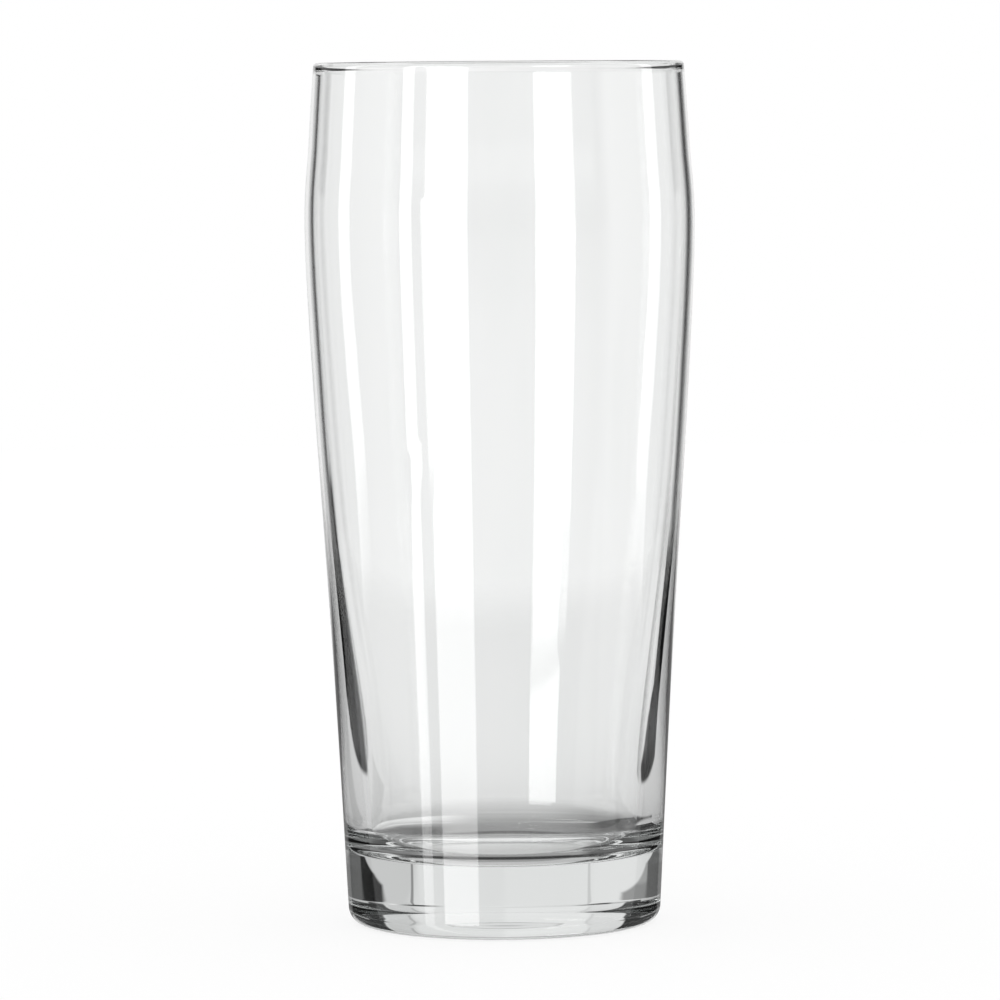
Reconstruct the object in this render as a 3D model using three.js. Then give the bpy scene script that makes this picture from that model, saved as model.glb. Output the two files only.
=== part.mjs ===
import * as THREE from "three";

// A tall drinking glass: thick solid base, side that flares gently upwards, bulge below the mouth.
// Millimetres, +Z up, origin at the middle of the foot, on the surface that the glass stands on.

// Lengths up the outside, each one measured on from the one before it.
const HEEL_RADIUS = 3.4; // round corner between the foot and the side
const LOWER_SIDE_LENGTH = 36.6;
const MIDDLE_SIDE_LENGTH = 36;
const UPPER_SIDE_LENGTH = 34;
const BELLY_RISE = 31; // from the top of the taper up to the widest point
const SHOULDER_LENGTH = 17; // from the widest point up to the drawn-in neck
const MOUTH_LENGTH = 16.6; // from the neck up to the top of the rim

// Outside diameters at the ends of those lengths.
const FOOT_DIAMETER = 63.5;
const LOWER_SIDE_DIAMETER = 67.3;
const MIDDLE_SIDE_DIAMETER = 71.7;
const UPPER_SIDE_DIAMETER = 76.1;
const BELLY_DIAMETER = 78.9;
const NECK_DIAMETER = 77;
const MOUTH_DIAMETER = 74.9;

// Wall thickness at the same heights, and of the solid base.
const LOWER_SIDE_WALL = 4.7;
const MIDDLE_SIDE_WALL = 2.6;
const UPPER_SIDE_WALL = 2.05;
const BELLY_WALL = 1.8;
const NECK_WALL = 1.7;
const RIM_THICKNESS = 1.8; // the rim is fully rounded, so half of this is its radius
const BASE_THICKNESS = 14.3; // standing surface to inside floor
const FLOOR_CORNER_RADIUS = 7; // round corner between the inside floor and the wall
const FLOOR_CORNER_WALL = 5.4; // wall where that corner starts

// Underside: a narrow flat ring to stand on, and a domed hollow within it.
const BEARING_RING_WIDTH = 2;
const HOLLOW_RISE = 3.5;

// Steps of the turned surface.
const SEGMENTS_AROUND = 72;
const SIDE_STEPS = 18;
const HEEL_STEPS = 5;
const RIM_STEPS = 6;
const FLOOR_CORNER_STEPS = 6;
const HOLLOW_STEPS = 6;

/** The outside stations from the top of the heel up to the widest part of the rim, as (radius, height). */
function outsideStations() {
  const lengths = [
    LOWER_SIDE_LENGTH,
    MIDDLE_SIDE_LENGTH,
    UPPER_SIDE_LENGTH,
    BELLY_RISE,
    SHOULDER_LENGTH,
    MOUTH_LENGTH - RIM_THICKNESS / 2,
  ];
  const diameters = [
    FOOT_DIAMETER,
    LOWER_SIDE_DIAMETER,
    MIDDLE_SIDE_DIAMETER,
    UPPER_SIDE_DIAMETER,
    BELLY_DIAMETER,
    NECK_DIAMETER,
    MOUTH_DIAMETER,
  ];
  let height = HEEL_RADIUS;
  return diameters.map((diameter, i) => {
    if (i > 0) height += lengths[i - 1];
    return new THREE.Vector2(diameter / 2, height);
  });
}

/** The radius of a curve of (radius, height) points at one height. */
function radiusAt(points, height) {
  const next = points.findIndex((point) => point.y >= height);
  if (next <= 0) return points[next === 0 ? 0 : points.length - 1].x;
  const [below, above] = [points[next - 1], points[next]];
  const share = (height - below.y) / (above.y - below.y);
  return below.x + share * (above.x - below.x);
}

/** Points of an arc about a centre, from one angle to another in radians, both ends included. */
function arc(x, y, radius, from, to, steps) {
  const clockwise = to < from;
  const curve = new THREE.EllipseCurve(x, y, radius, radius, from, to, clockwise);
  return curve.getPoints(steps);
}

/** The hollow of the underside: a low dome from the axis out to the bearing ring. */
function hollow(ringInside) {
  const domeRadius = (ringInside ** 2 + HOLLOW_RISE ** 2) / (2 * HOLLOW_RISE);
  const halfAngle = Math.asin(ringInside / domeRadius);
  const top = Math.PI / 2;
  const centreHeight = HOLLOW_RISE - domeRadius;
  const slope = arc(0, centreHeight, domeRadius, top, top - halfAngle, HOLLOW_STEPS);
  return [new THREE.Vector2(0, HOLLOW_RISE), ...slope.slice(1)];
}

/** The closed half outline, from the axis under the base, up the outside, over the rim and down inside. */
function glassOutline() {
  const outside = outsideStations();
  const side = new THREE.SplineCurve(outside).getPoints(SIDE_STEPS);
  const footRadius = FOOT_DIAMETER / 2 - HEEL_RADIUS;
  const underside = hollow(footRadius - BEARING_RING_WIDTH);
  const heel = arc(footRadius, HEEL_RADIUS, HEEL_RADIUS, -Math.PI / 2, 0, HEEL_STEPS);

  const rimRadius = RIM_THICKNESS / 2;
  const rimEdge = outside.at(-1);
  const rim = arc(rimEdge.x - rimRadius, rimEdge.y, rimRadius, 0, Math.PI, RIM_STEPS);

  const cornerHeight = BASE_THICKNESS + FLOOR_CORNER_RADIUS;
  const cornerEdge = radiusAt(side, cornerHeight) - FLOOR_CORNER_WALL;
  const cornerCentre = cornerEdge - FLOOR_CORNER_RADIUS;
  const walls = [
    LOWER_SIDE_WALL,
    MIDDLE_SIDE_WALL,
    UPPER_SIDE_WALL,
    BELLY_WALL,
    NECK_WALL,
  ];
  const insideStations = walls.map((wall, i) => {
    const station = outside[i + 1];
    return new THREE.Vector2(station.x - wall, station.y);
  });
  const insideSide = new THREE.SplineCurve([
    new THREE.Vector2(cornerEdge, cornerHeight),
    ...insideStations,
    rim.at(-1),
  ]).getPoints(SIDE_STEPS);
  const floorCorner = arc(
    cornerCentre,
    cornerHeight,
    FLOOR_CORNER_RADIUS,
    0,
    -Math.PI / 2,
    FLOOR_CORNER_STEPS,
  );

  return [
    ...underside,
    ...heel,
    ...side.slice(1),
    ...rim.slice(1),
    ...insideSide.reverse().slice(1),
    ...floorCorner.slice(1),
    new THREE.Vector2(0, BASE_THICKNESS),
  ];
}

/** Clear soda-lime glass, which shows faintly grey-green through the thick base. */
function clearGlass() {
  return new THREE.MeshStandardMaterial({
    name: "clear_glass",
    color: 0xeef3f1,
    roughness: 0.03,
    metalness: 0,
    transparent: true,
    opacity: 0.35,
  });
}

const turned = new THREE.LatheGeometry(glassOutline(), SEGMENTS_AROUND);
turned.rotateX(Math.PI / 2);

const glassBody = new THREE.Mesh(turned, clearGlass());
glassBody.name = "glass_body";

const pubGlass = new THREE.Group();
pubGlass.name = "pub_glass";
pubGlass.add(glassBody);

export default pubGlass;
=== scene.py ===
"""A clear pub glass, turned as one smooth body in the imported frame, on a pale stage in soft studio light."""

from __future__ import annotations

import functools
import logging
import math
from dataclasses import dataclass, field
from enum import Enum
from typing import Union

import bmesh
import bpy
from mathutils import Euler, Matrix, Vector

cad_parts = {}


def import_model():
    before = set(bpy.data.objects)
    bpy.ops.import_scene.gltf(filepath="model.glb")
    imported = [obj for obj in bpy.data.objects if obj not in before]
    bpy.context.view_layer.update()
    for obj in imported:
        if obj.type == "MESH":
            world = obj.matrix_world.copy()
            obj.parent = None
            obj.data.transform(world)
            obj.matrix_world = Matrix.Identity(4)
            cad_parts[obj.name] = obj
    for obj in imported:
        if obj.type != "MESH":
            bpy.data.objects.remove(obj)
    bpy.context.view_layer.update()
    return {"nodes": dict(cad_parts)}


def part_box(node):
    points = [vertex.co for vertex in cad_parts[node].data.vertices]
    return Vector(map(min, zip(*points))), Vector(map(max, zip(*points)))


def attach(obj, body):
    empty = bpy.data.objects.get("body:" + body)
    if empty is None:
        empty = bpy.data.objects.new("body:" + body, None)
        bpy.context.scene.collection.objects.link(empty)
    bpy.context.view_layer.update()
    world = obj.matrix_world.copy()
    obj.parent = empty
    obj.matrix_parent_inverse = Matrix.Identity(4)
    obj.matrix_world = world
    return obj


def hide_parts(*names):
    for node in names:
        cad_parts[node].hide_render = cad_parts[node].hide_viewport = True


LOG = logging.getLogger("pub_glass")

MM = 0.001
PICTURE_PIXELS = 1000
SENSOR_WIDTH_MM = 36.0
FULL_TURN = 2.0 * math.pi
WHITE = (1.0, 1.0, 1.0, 1.0)
RADIAN = math.degrees(1.0)
CLOUD_ROUGHNESS = 0.55
MERGE_DISTANCE = 0.001 * MM
GLASS_BOUNCES = 24
GLOSS_BOUNCES = 16

# Ends of a panel that are past straight down, straight up, straight behind the glass and the camera.
NADIR = -99.0
ZENITH = 99.0
MIDDLE = -9.0
REAR = 200.0
DROOP_START = 40.0

# Half the width over which the left of the table passes into its right.
SEAM = 1.0

Number = Union[int, float]


class Socket:
    """A shader output. Arithmetic on it adds Math nodes to its tree, so a pattern reads as a formula."""

    def __init__(self, graph: "Graph", output: bpy.types.NodeSocket) -> None:
        """Holds the output and the graph that it belongs to."""
        self.graph = graph
        self.output = output

    def _math(self, operation: str, *values: "SocketValue") -> "Socket":
        """Adds a Math node.

        Args:
            operation: The node's operation.
            values: Its inputs, in order.

        Returns:
            The node's result.
        """
        return self.graph.node("ShaderNodeMath", {"operation": operation}, dict(enumerate(values)))

    def __add__(self, other: "SocketValue") -> "Socket":
        """Sum."""
        return self._math("ADD", self, other)

    def __radd__(self, other: Number) -> "Socket":
        """Sum with a plain number first."""
        return self._math("ADD", other, self)

    def __sub__(self, other: "SocketValue") -> "Socket":
        """Difference."""
        return self._math("SUBTRACT", self, other)

    def __rsub__(self, other: Number) -> "Socket":
        """Difference with a plain number first."""
        return self._math("SUBTRACT", other, self)

    def __mul__(self, other: "SocketValue") -> "Socket":
        """Product."""
        return self._math("MULTIPLY", self, other)

    def __rmul__(self, other: Number) -> "Socket":
        """Product with a plain number first."""
        return self._math("MULTIPLY", other, self)

    def __truediv__(self, other: "SocketValue") -> "Socket":
        """Quotient."""
        return self._math("DIVIDE", self, other)

    def __rtruediv__(self, other: Number) -> "Socket":
        """Quotient with a plain number first."""
        return self._math("DIVIDE", other, self)

    def size(self) -> "Socket":
        """The value without its sign."""
        return self._math("ABSOLUTE", self)

    def at_most(self, other: "SocketValue") -> "Socket":
        """The smaller of two values."""
        return self._math("MINIMUM", self, other)

    def at_least(self, other: "SocketValue") -> "Socket":
        """The larger of two values."""
        return self._math("MAXIMUM", self, other)

    def angle_with(self, across: "Socket") -> "Socket":
        """The angle in degrees of the direction whose sine part is this value and cosine part the other."""
        return self._math("ARCTAN2", self, across) * RADIAN

    def elevation(self) -> "Socket":
        """The angle in degrees whose sine is this value."""
        return self._math("ARCSINE", self) * RADIAN

    def rise(self, start: Number, end: Number) -> "Socket":
        """A smooth step.

        Args:
            start: Where the step begins.
            end: Where it ends; below start for a step that falls.

        Returns:
            0 before start, 1 past end.
        """
        low, high, first, last = (start, end, 0.0, 1.0) if start < end else (end, start, 1.0, 0.0)
        return self.graph.node(
            "ShaderNodeMapRange",
            {"interpolation_type": "SMOOTHSTEP", "clamp": True},
            {"Value": self, "From Min": low, "From Max": high, "To Min": first, "To Max": last},
        )

    def between(self, low: Number, high: Number, soft: Number) -> "Socket":
        """A band with soft edges.

        Args:
            low: The middle of its lower edge.
            high: The middle of its upper edge.
            soft: The width of each edge.

        Returns:
            1 inside the band and 0 outside.
        """
        half = soft / 2.0
        return self.rise(low - half, low + half) * self.rise(high + half, high - half)


SocketValue = Union[Socket, Number]
Setting = Union[str, bool, Number]
Input = Union[Socket, Number, tuple]


class Graph:
    """A node tree, with one method that adds any node."""

    def __init__(self, tree: bpy.types.NodeTree) -> None:
        """Empties the tree and holds it."""
        self.tree = tree
        tree.nodes.clear()

    def node(
        self,
        kind: str,
        settings: dict[str, Setting] | None = None,
        inputs: dict[Union[str, int], Input] | None = None,
        output: Union[str, int] = 0,
    ) -> Socket:
        """Adds a node.

        Args:
            kind: The node's type.
            settings: Its properties, set first.
            inputs: Values or links for its sockets, by name or number.
            output: The socket that is handed back.

        Returns:
            The chosen output.
        """
        made = self.tree.nodes.new(kind)
        for name, value in (settings or {}).items():
            setattr(made, name, value)
        for name, value in (inputs or {}).items():
            if isinstance(value, Socket):
                self.tree.links.new(value.output, made.inputs[name])
            else:
                made.inputs[name].default_value = value
        return Socket(self, made.outputs[output] if len(made.outputs) else None)

    def mix_values(self, share: SocketValue, first: SocketValue, second: SocketValue) -> Socket:
        """Goes from one value to another.

        Args:
            share: How much of the second value.
            first: The value at 0.
            second: The value at 1.

        Returns:
            The mixed value.
        """
        return self.node(
            "ShaderNodeMix",
            {"data_type": "FLOAT", "clamp_factor": True},
            {0: share, 2: first, 3: second},
        )

    def mix_colours(self, share: SocketValue, first: Input, second: Input) -> Socket:
        """Goes from one colour to another.

        Args:
            share: How much of the second colour.
            first: The colour at 0.
            second: The colour at 1.

        Returns:
            The mixed colour.
        """
        return self.node(
            "ShaderNodeMix",
            {"data_type": "RGBA", "clamp_factor": True},
            {0: share, 6: first, 7: second},
            output=2,
        )

    def noise(self, where: Socket, scale: Number, detail: Number = 2.0) -> Socket:
        """A cloud pattern.

        Args:
            where: The point that it is read at.
            scale: Clouds per metre.
            detail: How many finer layers it has.

        Returns:
            A value around a half.
        """
        return self.node(
            "ShaderNodeTexNoise",
            {"noise_dimensions": "3D"},
            {"Vector": where, "Scale": scale, "Detail": detail, "Roughness": CLOUD_ROUGHNESS},
        )

    def stretched(self, where: Socket, scale: tuple[float, float, float]) -> Socket:
        """The point with each axis scaled, for a pattern that runs along one of them."""
        return self.node("ShaderNodeMapping", {"vector_type": "POINT"}, {"Vector": where, "Scale": scale})

    def parts(self, vector: Socket) -> tuple[Socket, Socket, Socket]:
        """Splits a vector into its three numbers."""
        split = self.node("ShaderNodeSeparateXYZ", inputs={"Vector": vector}).output.node.outputs
        return Socket(self, split["X"]), Socket(self, split["Y"]), Socket(self, split["Z"])

    def ray_kinds(self) -> tuple[Socket, Socket, Socket]:
        """Tells where a ray comes from.

        Returns:
            1 or 0 each for a ray from the camera, from a glossy surface, and through glass.
        """
        path = self.node("ShaderNodeLightPath").output.node.outputs
        kinds = ("Is Camera Ray", "Is Glossy Ray", "Is Transmission Ray")
        return tuple(Socket(self, path[kind]) for kind in kinds)


@dataclass(frozen=True)
class ClearGlass:
    """Polished soda-lime glass with faint handling marks and the drawn streaks of pressed glass."""

    name: str = "clear_glass"
    refraction: float = 1.52
    clean_tint: tuple[float, float, float, float] = (0.992, 0.996, 0.994, 1.0)
    streak_tint: tuple[float, float, float, float] = (0.978, 0.984, 0.981, 1.0)
    polish: float = 0.0
    smudge: float = 0.012
    streaks_per_metre: float = 90.0
    streak_detail: float = 3.0
    streak_edge: tuple[float, float] = (0.5, 0.68)
    smudges_per_metre: float = 38.0
    smudge_detail: float = 4.0
    smudge_edge: tuple[float, float] = (0.52, 0.72)
    ripple_per_metre: float = 120.0
    ripple_height: float = 0.004 * MM
    streak_stretch: tuple[float, float, float] = (1.0, 1.0, 0.12)
    depth_tint: tuple[float, float, float, float] = (0.5, 0.53, 0.52, 1.0)
    depth_density: float = 7.0

    def material(self) -> bpy.types.Material:
        """Builds the glass.

        Returns:
            The material.
        """
        made = bpy.data.materials.new(self.name)
        made.use_nodes = True
        graph = Graph(made.node_tree)
        where = graph.node("ShaderNodeTexCoord", output="Object")
        drawn = graph.stretched(where, self.streak_stretch)
        streak = graph.noise(drawn, self.streaks_per_metre, self.streak_detail).rise(*self.streak_edge)
        smudge = graph.noise(where, self.smudges_per_metre, self.smudge_detail).rise(*self.smudge_edge)
        ripple = graph.noise(drawn, self.ripple_per_metre)
        bump = graph.node(
            "ShaderNodeBump",
            inputs={"Height": ripple, "Distance": self.ripple_height, "Strength": 1.0},
        )
        shader = graph.node(
            "ShaderNodeBsdfPrincipled",
            {"distribution": "GGX"},
            {
                "Base Color": graph.mix_colours(streak, self.clean_tint, self.streak_tint),
                "Roughness": graph.mix_values(smudge, self.polish, self.smudge),
                "IOR": self.refraction,
                "Transmission Weight": 1.0,
                "Normal": bump,
            },
        )
        depth = graph.node(
            "ShaderNodeVolumeAbsorption",
            inputs={"Color": self.depth_tint, "Density": self.depth_density},
        )
        graph.node("ShaderNodeOutputMaterial", inputs={"Surface": shader, "Volume": depth})
        return made


@dataclass(frozen=True)
class Station:
    """One height of the side: its outside radius and its wall, in millimetres."""

    height: float
    outside: float
    wall: float

    @property
    def inside(self) -> float:
        """The radius of the inside surface at this height."""
        return self.outside - self.wall


class Outline:
    """The half section of a turned shape, drawn from the axis and back to it in radius and height."""

    def __init__(self) -> None:
        """Starts with no points."""
        self.points: list[Vector] = []

    def point(self, radius: float, height: float) -> None:
        """Goes straight to a point."""
        self.points.append(Vector((radius, height)))

    def arc(self, centre: Vector, radius: float, start: float, end: float, steps: int) -> None:
        """Goes round an arc.

        Args:
            centre: Its centre, as radius and height.
            radius: Its own radius.
            start: The angle that it starts at, in degrees from straight outwards.
            end: The angle that it ends at.
            steps: How many straight pieces it is made of.
        """
        for step in range(steps + 1):
            angle = math.radians(start + (end - start) * step / steps)
            self.points.append(centre + radius * Vector((math.cos(angle), math.sin(angle))))

    def ease(self, end: Vector, steps: int) -> None:
        """Goes on from the last point to another, with the radius changing softly at both ends.

        Args:
            end: The point that it goes to.
            steps: How many straight pieces it is made of.
        """
        start = self.points[-1]
        for step in range(1, steps + 1):
            t = step / steps
            share = t * t * (3.0 - 2.0 * t)
            radius = start.x + (end.x - start.x) * share
            self.points.append(Vector((radius, start.y + (end.y - start.y) * t)))

    def curve(self, stations: list[Vector], steps: int) -> None:
        """Goes along a smooth curve through stations.

        Args:
            stations: The points that it passes through.
            steps: How many straight pieces each span between two stations has.
        """
        ends = [stations[0], *stations, stations[-1]]
        for before, first, second, after in zip(ends, ends[1:], ends[2:], ends[3:]):
            leave, arrive = (second - before) / 2.0, (after - first) / 2.0
            bend = 2.0 * (first - second) + leave + arrive
            swing = 3.0 * (second - first) - 2.0 * leave - arrive
            for step in range(steps):
                t = step / steps
                self.points.append(((bend * t + swing) * t + leave) * t + first)
        self.points.append(stations[-1])


@dataclass
class GlassBody:
    """The whole tumbler: thick base, flaring side, bulge under the mouth and rounded rim, in one piece."""

    node: str = "glass_body"
    body: str = "root"
    heel_radius: float = 3.4
    foot_radius: float = 31.75
    stations: list[Station] = field(
        default_factory=lambda: [
            Station(height=40.0, outside=33.65, wall=4.7),
            Station(height=76.0, outside=35.85, wall=2.6),
            Station(height=110.0, outside=38.05, wall=2.05),
            Station(height=141.0, outside=39.44, wall=1.8),
            Station(height=158.0, outside=38.5, wall=1.7),
        ]
    )
    mouth_radius: float = 37.45
    rim_thickness: float = 1.9
    bead_length: float = 0.9
    wall_under_bead: float = 1.6
    base_thickness: float = 14.3
    floor_corner_radius: float = 7.0
    floor_corner_wall: float = 5.4
    bearing_ring_width: float = 2.0
    hollow_rise: float = 3.5
    segments: int = 480
    side_steps: int = 9
    arc_steps: int = 14
    bead_steps: int = 8
    finish: ClearGlass = field(default_factory=ClearGlass)

    def outline(self, height: float) -> Outline:
        """Draws the half section, up the outside, over the rim and down the inside.

        Args:
            height: The height of the glass in millimetres.

        Returns:
            The section, from the axis under the base to the axis on the inside floor.
        """
        drawn = Outline()
        ring = self.foot_radius - self.heel_radius
        hollow = ring - self.bearing_ring_width
        dome = (hollow**2 + self.hollow_rise**2) / (2.0 * self.hollow_rise)
        spread = math.degrees(math.asin(hollow / dome))
        drawn.arc(Vector((0.0, self.hollow_rise - dome)), dome, 90.0, 90.0 - spread, self.arc_steps)
        drawn.arc(Vector((ring, self.heel_radius)), self.heel_radius, -90.0, 0.0, self.arc_steps)

        rim = self.rim_thickness / 2.0
        rim_height = height - rim
        outside = [Vector((self.foot_radius, self.heel_radius))]
        outside += [Vector((station.outside, station.height)) for station in self.stations]
        outside.append(Vector((self.mouth_radius, rim_height)))
        drawn.curve(outside, self.side_steps)
        drawn.arc(Vector((self.mouth_radius - rim, rim_height)), rim, 0.0, 180.0, self.arc_steps)

        corner_height = self.base_thickness + self.floor_corner_radius
        corner = self.outside_at(drawn, corner_height) - self.floor_corner_wall
        under_bead = rim_height - self.bead_length
        thinnest = self.outside_at(drawn, under_bead) - self.wall_under_bead
        drawn.ease(Vector((thinnest, under_bead)), self.bead_steps)
        inside = [Vector((thinnest, under_bead))]
        inside += [Vector((station.inside, station.height)) for station in reversed(self.stations)]
        inside.append(Vector((corner, corner_height)))
        drawn.curve(inside, self.side_steps)
        centre = Vector((corner - self.floor_corner_radius, corner_height))
        drawn.arc(centre, self.floor_corner_radius, 0.0, -90.0, self.arc_steps)
        drawn.point(0.0, self.base_thickness)
        return drawn

    @staticmethod
    def outside_at(drawn: Outline, height: float) -> float:
        """Reads the outside radius off a section.

        Args:
            drawn: The section so far, which goes up the outside.
            height: The height to read it at.

        Returns:
            The radius there.
        """
        for below, above in zip(drawn.points, drawn.points[1:]):
            if below.y <= height <= above.y and above.y > below.y:
                return below.lerp(above, (height - below.y) / (above.y - below.y)).x
        raise ValueError(f"the section doesn't reach {height} mm")

    def build(self, height: float) -> bpy.types.Object:
        """Turns the section into the glass.

        Args:
            height: The height of the glass in millimetres.

        Returns:
            The finished object.
        """
        mesh = bmesh.new()
        corners = [mesh.verts.new((point.x * MM, 0.0, point.y * MM)) for point in self.outline(height).points]
        edges = [mesh.edges.new(pair) for pair in zip(corners, corners[1:])]
        bmesh.ops.spin(
            mesh,
            geom=corners + edges,
            cent=(0.0, 0.0, 0.0),
            axis=(0.0, 0.0, 1.0),
            dvec=(0.0, 0.0, 0.0),
            angle=FULL_TURN,
            steps=self.segments,
            use_merge=True,
            use_normal_flip=False,
            use_duplicate=False,
        )
        bmesh.ops.remove_doubles(mesh, verts=mesh.verts[:], dist=MERGE_DISTANCE)
        bmesh.ops.recalc_face_normals(mesh, faces=mesh.faces[:])
        for face in mesh.faces:
            face.smooth = True
        data = bpy.data.meshes.new("glass_shell")
        mesh.to_mesh(data)
        mesh.free()
        piece = bpy.data.objects.new("glass_shell", data)
        bpy.context.scene.collection.objects.link(piece)
        data.materials.append(self.finish.material())
        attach(piece, self.body)
        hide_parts(self.node)
        return piece


class Side(Enum):
    """Which side of the glass a panel stands on, as the sign of its turn."""

    LEFT = -1
    BOTH = 0
    RIGHT = 1


@dataclass(frozen=True)
class Slide:
    """How far a panel's edges move outwards, in degrees, as the tilt goes from start to end.

    They are back in place from the tilt called until, where there is one.
    """

    near: float
    far: float
    start: float
    end: float
    until: float | None = None

    def moved(self, tilt: Socket) -> Socket:
        """Tells how far along the move is.

        Args:
            tilt: The direction's tilt.

        Returns:
            0 before the move and 1 at its end.
        """
        share = tilt.rise(self.start, self.end)
        if self.until is None:
            return share
        return share * tilt.rise(self.until, self.until - self.end + self.start)


@dataclass(frozen=True)
class Panel:
    """A light, a pale screen or a dark card far round the glass. Angles are in degrees.

    The turn is counted from straight behind the glass, and the tilt from the horizon up. The brightness
    is given for light that the glass mirrors and for light that is seen through it, and is None where
    that light doesn't meet the panel. The droop is how far the top falls for each degree past DROOP_START.
    """

    near: float
    far: float
    bottom: float
    top: float
    mirrored: float | None
    seen: float | None
    side: Side = Side.BOTH
    edge: float = 2.0
    fade: float = 2.0
    slide: Slide | None = None
    droop: float = 0.0
    hides: bool = True

    def share(self, turn: Socket, tilt: Socket) -> Socket:
        """How much of a direction the panel fills.

        Args:
            turn: The direction's turn.
            tilt: The direction's tilt.

        Returns:
            1 on the panel and 0 outside it.
        """
        about = turn.size() if self.side is Side.BOTH else turn * self.side.value
        inwards, outwards, height = about, about, tilt
        if self.slide:
            moved = self.slide.moved(tilt)
            inwards = about - moved * self.slide.near
            outwards = about - moved * self.slide.far
        if self.droop:
            height = tilt + (about - DROOP_START).at_least(0.0) * self.droop
        half = self.edge / 2.0
        across = inwards.rise(self.near - half, self.near + half)
        across = across * outwards.rise(self.far + half, self.far - half)
        return across * height.between(self.bottom, self.top, self.fade)

    def over(self, level: SocketValue, turn: Socket, tilt: Socket, through: Socket) -> Socket:
        """Puts the panel in front of what is there so far.

        Args:
            level: The brightness without it.
            turn: The direction's turn.
            tilt: The direction's tilt.
            through: 1 for light that has come through the glass, 0 for light that it mirrors.

        Returns:
            The brightness with it.
        """
        share = self.share(turn, tilt)
        if self.seen is None:
            share, glow = share * (1.0 - through), self.mirrored
        elif self.mirrored is None:
            share, glow = share * through, self.seen
        else:
            glow = tilt.graph.mix_values(through, self.mirrored, self.seen)
        if self.hides:
            return tilt.graph.mix_values(share, level, glow)
        return level + share * glow


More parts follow.
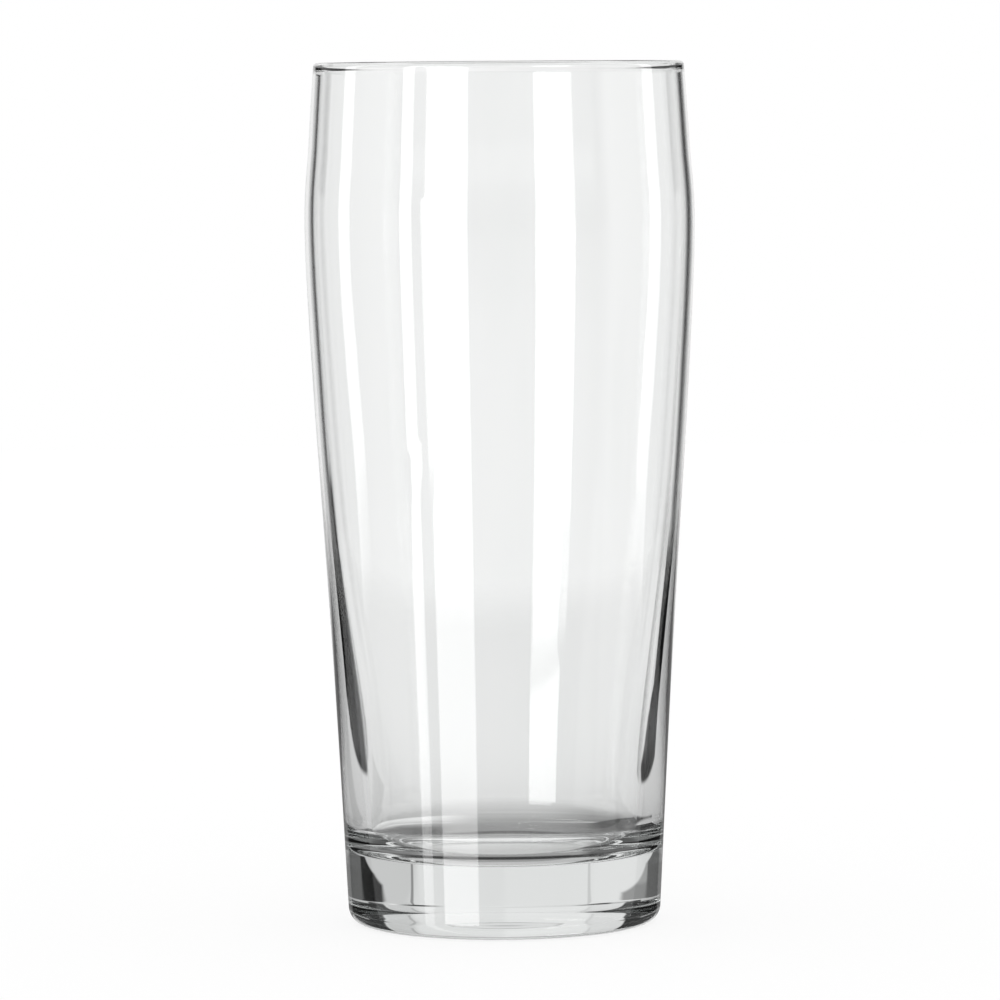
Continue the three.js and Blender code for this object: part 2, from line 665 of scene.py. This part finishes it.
@dataclass
class Studio:
    """The world round the stage: plain white to the camera, and lights, screens and cards to the glass."""

    room: float = 0.08
    plain_level: float = 0.9
    screens: list[Panel] = field(
        default_factory=lambda: [
            Panel(115.0, REAR, NADIR, ZENITH, mirrored=0.33, seen=0.33, edge=30.0),
            Panel(29.0, 112.0, NADIR, 11.0, mirrored=0.63, seen=0.71, edge=4.0, fade=1.2),
            Panel(115.0, REAR, NADIR, -4.0, mirrored=0.55, seen=0.55, edge=10.0, fade=8.0),
            Panel(117.5, REAR, NADIR, -9.0, mirrored=None, seen=0.88, edge=5.0, fade=2.0),
            Panel(34.7, 77.0, 4.7, ZENITH, mirrored=None, seen=0.03, fade=1.2),
            Panel(39.0, 50.0, 0.2, ZENITH, mirrored=None, seen=0.03, fade=1.0),
        ]
    )
    backdrop: list[Panel] = field(
        default_factory=lambda: [
            Panel(MIDDLE, 38.3, 2.6, ZENITH, mirrored=1.0, seen=1.0, fade=1.6),
            Panel(0.0, 38.3, 2.6, ZENITH, mirrored=0.937, seen=0.937, side=Side.RIGHT, fade=1.6),
            Panel(25.0, 38.3, 2.6, ZENITH, mirrored=0.72, seen=0.72, side=Side.RIGHT, edge=4.0, fade=1.6),
            Panel(22.9, 38.3, 2.6, ZENITH, mirrored=0.89, seen=0.89, side=Side.LEFT, fade=1.6),
            Panel(26.0, 27.0, 8.0, ZENITH, mirrored=None, seen=0.5, side=Side.RIGHT, edge=0.6),
            Panel(23.2, 24.1, 8.0, ZENITH, mirrored=None, seen=0.78, side=Side.LEFT, edge=0.6),
        ]
    )
    cards: list[Panel] = field(
        default_factory=lambda: [
            Panel(MIDDLE, 38.5, NADIR, 2.6, mirrored=0.98, seen=0.98, edge=3.0, fade=1.6),
            Panel(10.5, 38.5, NADIR, 2.6, mirrored=0.84, seen=0.84, side=Side.LEFT, edge=25.0, fade=1.6),
            Panel(
                25.0, 38.5, NADIR, 2.6, mirrored=0.03, seen=0.03, side=Side.LEFT, edge=7.0, fade=1.6,
                slide=Slide(near=-6.5, far=0.0, start=0.0, end=2.5),
            ),
            Panel(31.4, 38.5, -7.7, 2.6, mirrored=0.03, seen=0.58, side=Side.LEFT, edge=3.0, fade=1.6),
            Panel(11.6, 38.5, NADIR, 2.6, mirrored=0.86, seen=0.86, side=Side.RIGHT, edge=30.0, fade=1.6),
            Panel(18.6, 38.5, NADIR, 2.6, mirrored=0.03, seen=0.03, side=Side.RIGHT, edge=8.0, fade=1.6),
            Panel(30.1, 38.5, NADIR, 2.6, mirrored=0.03, seen=1.0, side=Side.RIGHT, edge=10.0, fade=1.6),
            Panel(MIDDLE, 39.0, NADIR, -12.0, mirrored=None, seen=0.9, edge=4.0, fade=2.0),
            Panel(26.0, 112.0, NADIR, -6.45, mirrored=0.04, seen=None, edge=4.0, fade=0.34, droop=0.155),
            Panel(78.0, 112.0, NADIR, -6.45, mirrored=0.2, seen=None, edge=24.0, fade=0.34, droop=0.155),
            Panel(MIDDLE, 25.9, -13.2, -6.2, mirrored=0.27, seen=None, fade=0.8),
        ]
    )
    lights: list[Panel] = field(
        default_factory=lambda: [
            Panel(
                135.1, 161.2, -16.0, 13.0, mirrored=4.4, seen=None, side=Side.LEFT, edge=1.5, fade=3.0,
                slide=Slide(near=2.2, far=0.0, start=-10.2, end=-10.6, until=-11.5), hides=False,
            ),
            Panel(
                131.5, 157.0, -16.0, 13.0, mirrored=None, seen=4.0, side=Side.LEFT, edge=1.5, fade=3.0,
                slide=Slide(near=3.5, far=0.0, start=2.8, end=4.0), hides=False,
            ),
            Panel(
                131.5, 157.0, -1.5, 3.0, mirrored=None, seen=3.0, side=Side.LEFT, edge=1.5, fade=1.0,
                hides=False,
            ),
            Panel(
                119.0, 126.8, NADIR, ZENITH, mirrored=1.8, seen=None, side=Side.LEFT, edge=1.5,
                slide=Slide(near=2.2, far=2.2, start=-10.1, end=-10.4, until=-11.1), hides=False,
            ),
            Panel(
                119.0, 126.8, -12.3, ZENITH, mirrored=3.2, seen=None, side=Side.LEFT, edge=1.5, fade=3.0,
                slide=Slide(near=2.2, far=2.2, start=-10.1, end=-10.4, until=-11.1), hides=False,
            ),
            Panel(
                70.0, 80.5, -9.2, ZENITH, mirrored=2.6, seen=None, edge=1.5, fade=1.5,
                slide=Slide(near=4.5, far=4.5, start=-5.0, end=-9.0), hides=False,
            ),
        ]
    )

    def build(self) -> None:
        """Makes the world."""
        world = bpy.data.worlds.new("studio")
        world.use_nodes = True
        bpy.context.scene.world = world
        graph = Graph(world.node_tree)
        direction = graph.node("ShaderNodeTexCoord", output="Generated")
        across, away, up = graph.parts(direction)
        turn = across.angle_with(away)
        tilt = up.elevation()
        camera, glossy, through = graph.ray_kinds()

        level = self.room
        for panel in [*self.screens, *self.backdrop, *self.cards, *self.lights]:
            level = panel.over(level, turn, tilt, through)

        clear = glossy.at_least(through)
        plain = graph.mix_values(camera, self.plain_level, 1.0)
        strength = graph.mix_values(clear, plain, level)
        background = graph.node("ShaderNodeBackground", inputs={"Color": WHITE, "Strength": strength})
        graph.node("ShaderNodeOutputWorld", inputs={"Surface": background})


@dataclass(frozen=True)
class Line:
    """A straight edge on the table, as its place at 0 in millimetres and its slope."""

    start: float
    slope: float

    def at(self, along: Socket) -> Socket:
        """Its place at a distance along."""
        return self.start + self.slope * along


def outermost(lines: tuple[Line, ...], along: Socket) -> Socket:
    """The furthest out of some lines at a distance along."""
    return functools.reduce(Socket.at_least, [line.at(along) for line in lines])


def innermost(lines: tuple[Line, ...], along: Socket) -> Socket:
    """The furthest in of some lines at a distance along."""
    return functools.reduce(Socket.at_most, [line.at(along) for line in lines])


class Measure(Enum):
    """What a place on the table is told by: millimetres from the glass's axis, or degrees of tilt."""

    ACROSS = "to the right of the axis"
    BEHIND = "behind the axis, seen from the camera"
    ASIDE = "to either side of the axis"
    REACH = "away from the axis"
    TILT = "how steeply the light leaves the table"


Place = dict[Measure, Socket]


@dataclass(frozen=True)
class Step:
    """A soft step across the table, from 0 at its start to 1 at its end."""

    by: Measure
    start: float
    end: float

    def share(self, place: Place) -> Socket:
        """How far up the step a place is."""
        return place[self.by].rise(self.start, self.end)


def all_up(steps: tuple[Step, ...], place: Place) -> Socket:
    """How far a place is up on all of some steps at once."""
    return functools.reduce(Socket.__mul__, [step.share(place) for step in steps])


def band(by: Measure, low: float, high: float, soft: float) -> tuple[Step, Step]:
    """The two steps of a band, given by the middles and the width of its edges."""
    half = soft / 2.0
    return Step(by, low - half, low + half), Step(by, high + half, high - half)


@dataclass(frozen=True)
class Shade:
    """A painted tone, of shade or of light, on the part of the table where all of its steps are up. It is laid
    over or added.
    """

    level: float
    steps: tuple[Step, ...]
    strength: float = 1.0
    adds: bool = False

    def over(self, level: SocketValue, place: Place) -> Socket:
        """Paints this tone on the table where the shade lies.

        Args:
            level: The brightness without it.
            place: The place on the table.

        Returns:
            The brightness with it.
        """
        share = all_up(self.steps, place) * self.strength
        if self.adds:
            return level + self.level * share
        return share.graph.mix_values(share, level, self.level)


@dataclass(frozen=True)
class PaintedDarkPatch:
    """A dark patch painted on the table to one side of the glass, in millimetres, for light through the glass
    only.

    It lies between the outermost of its inner lines and the outermost of its outer lines, which give
    the distance aside for a place behind the glass, and ends at its front.
    """

    side: Side
    inner: tuple[Line, ...]
    outer: tuple[Line, ...]
    front: float
    level: float
    soft: float = 3.0
    soft_front: float = 5.0

    def over(self, level: SocketValue, place: Place) -> Socket:
        """Paints the dark patch on the table.

        Args:
            level: The brightness without it.
            place: The place on the table.

        Returns:
            The brightness with it.
        """
        half = self.soft / 2.0
        aside, behind = place[Measure.ASIDE], place[Measure.BEHIND]
        inner = (aside - outermost(self.inner, behind)).rise(-half, half)
        outer = (aside - outermost(self.outer, behind)).rise(half, -half)
        front = behind.rise(self.front - self.soft_front, self.front)
        own_side = (place[Measure.ACROSS] * self.side.value).rise(-SEAM, SEAM)
        return aside.graph.mix_values(inner * outer * front * own_side, level, self.level)


@dataclass(frozen=True)
class PaintedBackdropReflection:
    """The painted reflection of the white backdrop in the table's gloss, with its steps of tone and its gaps.
    """

    left: float = 0.957
    right: float = 0.926
    far_right: float = 0.707
    tone_edge: Line = Line(-16.65, 0.43)
    tone_soft: float = 4.0
    right_gap: Line = Line(-19.52, 0.47)
    right_gap_depth: float = 0.6
    left_gap: Line = Line(-17.784, 0.416)
    left_gap_depth: float = 0.22
    gap_half_width: float = 0.0065
    gap_soft: float = 0.007

    def level(self, place: Place) -> Socket:
        """Tells the painted reflection at a place.

        Args:
            place: The place on the table.

        Returns:
            The brightness.
        """
        across, behind = place[Measure.ACROSS], place[Measure.BEHIND]
        graph = across.graph
        greyer = (across - self.tone_edge.at(behind)).rise(-self.tone_soft, self.tone_soft)
        right_side = graph.mix_values(greyer, self.right, self.far_right)
        white = graph.mix_values(across.rise(-SEAM, SEAM), self.left, right_side)
        right_gap = self.right_gap_depth * self.in_gap((across - self.right_gap.at(behind)) / behind)
        left_gap = self.left_gap_depth * self.in_gap((across + self.left_gap.at(behind)) / behind)
        return white * (1.0 - right_gap) * (1.0 - left_gap)

    def in_gap(self, offset: Socket) -> Socket:
        """1 in a gap and 0 outside it, for an offset as a share of the distance."""
        return offset.between(-self.gap_half_width, self.gap_half_width, self.gap_soft)


@dataclass
class Floor:
    """The table that the glass stands on: plain and pale to the camera, and it keeps the shadow.

    Light that comes through the glass meets painted emission instead: painted shade and shadow near the glass,
    painted dark cards beside it, and a painted reflection of the backdrop where it leaves at less than the
    angles of gloss_end. Lengths are in millimetres, with the glass in the middle and the camera on the side of
    smaller y.
    """

    name: str = "pale_floor"
    half_width: float = 1500.0
    segments: int = 96
    drop: float = 0.02
    glow: float = 0.86
    shadow_part: float = 0.16
    pale: float = 0.88
    gloss_end: tuple[float, float] = (6.0, 9.0)
    fade_out: tuple[float, float] = (500.0, 350.0)
    # Painted reflection of the backdrop and of dark sides in the table's gloss, for light through the glass.
    backdrop: PaintedBackdropReflection = PaintedBackdropReflection()
    left_edges: tuple[Line, ...] = (Line(40.9, 1.3), Line(55.3, 0.909), Line(69.2, 0.526), Line(120.8, 0.205))
    right_edges: tuple[Line, ...] = (Line(40.6, 1.194), Line(69.8, 0.7), Line(86.4, 0.53))
    edge_soft: float = 3.1
    side_edge: Line = Line(40.7, 0.68)
    side_soft: float = 8.0
    side_level: float = 0.147
    right_shade: float = 0.0
    left_shade: float = 0.348
    painted_reflection_streak: Shade = Shade(
        0.13,
        (Step(Measure.ASIDE, 60.0, 80.0), Step(Measure.BEHIND, 95.0, 110.0)),
        adds=True,
    )
    in_front: tuple[Step, ...] = (Step(Measure.BEHIND, 40.0, 20.0), Step(Measure.REACH, 60.0, 80.0))
    # Painted shadow at the glass's axis, the darkest tone of the table under it.
    painted_shadow_at_axis: float = 0.132
    painted_shades: list[Union[Shade, PaintedDarkPatch]] = field(
        default_factory=lambda: [
            # Painted shade: lighter away from the glass, darker to its right and for steep light, pale for
            # shallow light close in.
            Shade(0.314, (Step(Measure.REACH, 9.4, 98.9),), adds=True),
            Shade(0.417, (Step(Measure.REACH, 2.5, 238.5),), adds=True),
            Shade(-0.152, (Step(Measure.ACROSS, 8.4, 28.4), Step(Measure.REACH, 140.0, 70.0)), adds=True),
            Shade(0.22, (Step(Measure.TILT, 28.0, 46.0), Step(Measure.REACH, 80.0, 110.0))),
            Shade(0.915, (Step(Measure.TILT, 31.0, 28.0), Step(Measure.REACH, 57.5, 55.5))),
            # Painted shade in two nooks on the left of the glass.
            Shade(
                0.047,
                (
                    Step(Measure.ACROSS, SEAM, -SEAM),
                    *band(Measure.ASIDE, 68.9, 92.8, 5.0),
                    *band(Measure.BEHIND, 64.7, 149.7, 5.0),
                ),
                strength=0.24,
            ),
            Shade(
                0.047,
                (
                    Step(Measure.ACROSS, SEAM, -SEAM),
                    *band(Measure.ASIDE, 14.1, 88.2, 6.0),
                    *band(Measure.BEHIND, -5.0, 43.4, 10.0),
                ),
                strength=0.7,
            ),
            # The glass's painted shadow, falling to the right of it and behind.
            PaintedDarkPatch(
                side=Side.RIGHT,
                inner=(Line(22.7, 0.0), Line(-53.068, 1.54)),
                outer=(Line(128.7, -0.58),),
                front=-4.4,
                level=0.047,
                soft=6.0,
                soft_front=6.0,
            ),
            # Painted dark cards on the table, left and right of the glass.
            PaintedDarkPatch(
                side=Side.LEFT,
                inner=(Line(146.5, -0.322), Line(34.8, 0.471), Line(104.8, 0.0)),
                outer=(Line(91.3, 0.605),),
                front=58.2,
                level=0.0,
            ),
            PaintedDarkPatch(
                side=Side.RIGHT,
                inner=(Line(146.3, -0.385), Line(65.9, 0.274), Line(99.0, 0.0)),
                outer=(Line(120.0, 0.109), Line(60.0, 0.6)),
                front=69.4,
                level=0.0,
            ),
        ]
    )
    # Where the painted shade gives way to the plain pale tone.
    open_parts: tuple[tuple[Step, ...], ...] = (
        (Step(Measure.TILT, 18.0, 20.0), Step(Measure.REACH, 75.0, 95.0)),
        (Step(Measure.REACH, 55.0, 70.0), Step(Measure.BEHIND, 0.0, -10.0)),
        (Step(Measure.REACH, 47.0, 67.0), Step(Measure.ACROSS, -5.0, -25.0), Step(Measure.TILT, 20.0, 22.0)),
        (
            Step(Measure.REACH, 47.0, 67.0),
            Step(Measure.ACROSS, 5.0, 25.0),
            Step(Measure.BEHIND, 25.0, 5.0),
            Step(Measure.TILT, 18.0, 20.0),
        ),
    )
    painted_shadow_under_glass: list[Shade] = field(
        default_factory=lambda: [
            # Painted shadow under the glass: under the base, darker to each side, with two thin rings of
            # painted shadow.
            Shade(0.56, (Step(Measure.REACH, 32.0, 30.0),)),
            Shade(-0.434, (Step(Measure.REACH, 32.0, 30.0), Step(Measure.ACROSS, 18.2, 24.2)), adds=True),
            Shade(-0.337, (Step(Measure.REACH, 32.0, 30.0), Step(Measure.ACROSS, -19.4, -25.4)), adds=True),
            Shade(0.338, (Step(Measure.TILT, 50.0, 60.0), Step(Measure.REACH, 17.0, 19.0))),
            Shade(0.02, (*band(Measure.REACH, 22.5, 27.0, 2.5), Step(Measure.BEHIND, 0.0, -6.0))),
            Shade(
                0.02,
                (
                    *band(Measure.REACH, 37.0, 40.5, 1.5),
                    Step(Measure.TILT, 46.0, 50.0),
                    Step(Measure.BEHIND, 0.0, 6.0),
                ),
                strength=0.8,
            ),
        ]
    )

    def painted_reflection(self, place: Place) -> Socket:
        """The painted reflection in the table's gloss: the white backdrop behind the glass, and dark sides.

        Args:
            place: The place on the table.

        Returns:
            The brightness.
        """
        across, behind, aside = (place[by] for by in (Measure.ACROSS, Measure.BEHIND, Measure.ASIDE))
        graph = across.graph
        right = across.rise(-SEAM, SEAM)
        shade = graph.mix_values(right, self.painted_reflection_streak.over(self.left_shade, place), self.right_shade)
        side = (behind - self.side_edge.at(aside)).rise(0.0, -self.side_soft)
        dark = graph.mix_values(side, shade, self.side_level)
        edge = graph.mix_values(right, innermost(self.left_edges, aside), innermost(self.right_edges, aside))
        beside = (behind - edge).rise(self.edge_soft, -self.edge_soft)
        level = graph.mix_values(beside, self.backdrop.level(place), dark)
        return graph.mix_values(all_up(self.in_front, place), level, self.pale)

    def painted_shade(self, place: Place) -> Socket:
        """Painted shade on the table: darker near the glass, with the glass's painted shadow, painted rings of
        shadow under it and painted dark cards beside it.

        Args:
            place: The place on the table.

        Returns:
            The brightness.
        """
        level = self.painted_shadow_at_axis
        for tone in self.painted_shades:
            level = tone.over(level, place)
        is_open = functools.reduce(Socket.at_least, [all_up(part, place) for part in self.open_parts])
        level = is_open.graph.mix_values(is_open, level, self.pale)
        for tone in self.painted_shadow_under_glass:
            level = tone.over(level, place)
        return level

    def material(self) -> bpy.types.Material:
        """Builds the finish, with the painted shade, shadow and reflection that light through the glass meets.

        Returns:
            The material.
        """
        made = bpy.data.materials.new(self.name)
        made.use_nodes = True
        graph = Graph(made.node_tree)
        where = graph.node("ShaderNodeTexCoord", output="Object")
        spot = graph.node("ShaderNodeVectorMath", {"operation": "SCALE"}, {0: where, "Scale": 1.0 / MM})
        across, behind, _ = graph.parts(spot)
        reach = graph.node("ShaderNodeVectorMath", {"operation": "LENGTH"}, {0: spot}, output="Value")
        facing = graph.node("ShaderNodeLayerWeight", inputs={"Blend": 0.5}, output="Facing")
        tilt = (1.0 - facing).elevation()
        place = {
            Measure.ACROSS: across,
            Measure.BEHIND: behind,
            Measure.ASIDE: across.size(),
            Measure.REACH: reach,
            Measure.TILT: tilt,
        }
        level = graph.mix_values(tilt.rise(*self.gloss_end), self.painted_reflection(place), self.painted_shade(place))
        camera, _, through = graph.ray_kinds()

        # Light through the glass that lands near it meets the painted shade, shadow and reflection as
        # emission; further out the table lets it pass.
        clear = graph.node("ShaderNodeBsdfTransparent")
        table = graph.node("ShaderNodeEmission", inputs={"Color": level, "Strength": 1.0})
        near = through * reach.rise(*self.fade_out)
        behind_glass = graph.node("ShaderNodeMixShader", inputs={0: near, 1: clear, 2: table})

        glowing = graph.node("ShaderNodeEmission", inputs={"Color": WHITE, "Strength": self.glow})
        grey = (self.shadow_part, self.shadow_part, self.shadow_part, 1.0)
        shaded = graph.node("ShaderNodeBsdfDiffuse", inputs={"Color": grey})
        pale = graph.node("ShaderNodeAddShader", inputs={0: glowing, 1: shaded})
        surface = graph.node("ShaderNodeMixShader", inputs={0: camera, 1: behind_glass, 2: pale})
        graph.node("ShaderNodeOutputMaterial", inputs={"Surface": surface})
        return made

    def build(self) -> bpy.types.Object:
        """Makes the floor.

        Returns:
            The floor.
        """
        mesh = bmesh.new()
        bmesh.ops.create_circle(mesh, cap_ends=True, radius=self.half_width * MM, segments=self.segments)
        bmesh.ops.translate(mesh, verts=mesh.verts[:], vec=(0.0, 0.0, -self.drop * MM))
        data = bpy.data.meshes.new(self.name)
        mesh.to_mesh(data)
        mesh.free()
        made = bpy.data.objects.new(self.name, data)
        bpy.context.scene.collection.objects.link(made)
        data.materials.append(self.material())
        return made


@dataclass
class PictureCamera:
    """The camera, at the photograph's distance, height, tilt and lean. Lengths are in millimetres."""

    distance: float = 1290.0
    height: float = 180.4
    focal_pixels: float = 6378.0
    pitch: float = 4.19
    lean: float = 0.42
    aside: float = -0.33
    nearest: float = 50.0
    furthest: float = 50000.0

    def build(self) -> bpy.types.Object:
        """Makes the camera and gives it to the scene.

        Returns:
            The camera.
        """
        data = bpy.data.cameras.new("picture_camera")
        data.sensor_width = SENSOR_WIDTH_MM
        data.lens = SENSOR_WIDTH_MM * self.focal_pixels / PICTURE_PIXELS
        data.clip_start = self.nearest * MM
        data.clip_end = self.furthest * MM
        made = bpy.data.objects.new("picture_camera", data)
        made.location = (self.aside * MM, -self.distance * MM, self.height * MM)
        aim = Euler((math.radians(90.0 - self.pitch), 0.0, 0.0)).to_matrix()
        made.rotation_euler = (aim @ Matrix.Rotation(math.radians(-self.lean), 3, "Z")).to_euler()
        bpy.context.scene.collection.objects.link(made)
        bpy.context.scene.camera = made
        return made


def set_view() -> None:
    """Keeps the colours plain and lets light pass often enough through both walls and the base."""
    scene = bpy.context.scene
    scene.view_settings.view_transform = "Standard"
    scene.cycles.max_bounces = GLASS_BOUNCES
    scene.cycles.transmission_bounces = GLASS_BOUNCES
    scene.cycles.glossy_bounces = GLOSS_BOUNCES
    scene.cycles.transparent_max_bounces = GLOSS_BOUNCES


def main() -> None:
    """Builds the glass and its stage."""
    logging.basicConfig(level=logging.INFO, format="%(name)s: %(message)s")
    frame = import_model()
    LOG.info("frame holds %s", ", ".join(sorted(frame["nodes"])))
    set_view()
    PictureCamera().build()
    Studio().build()
    LOG.info("stage: %s", Floor().build().name)
    lowest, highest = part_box("glass_body")
    piece = GlassBody().build((highest.z - lowest.z) / MM)
    LOG.info("%s: %d vertices, %d faces", piece.name, len(piece.data.vertices), len(piece.data.polygons))


if __name__ == "__main__":
    main()
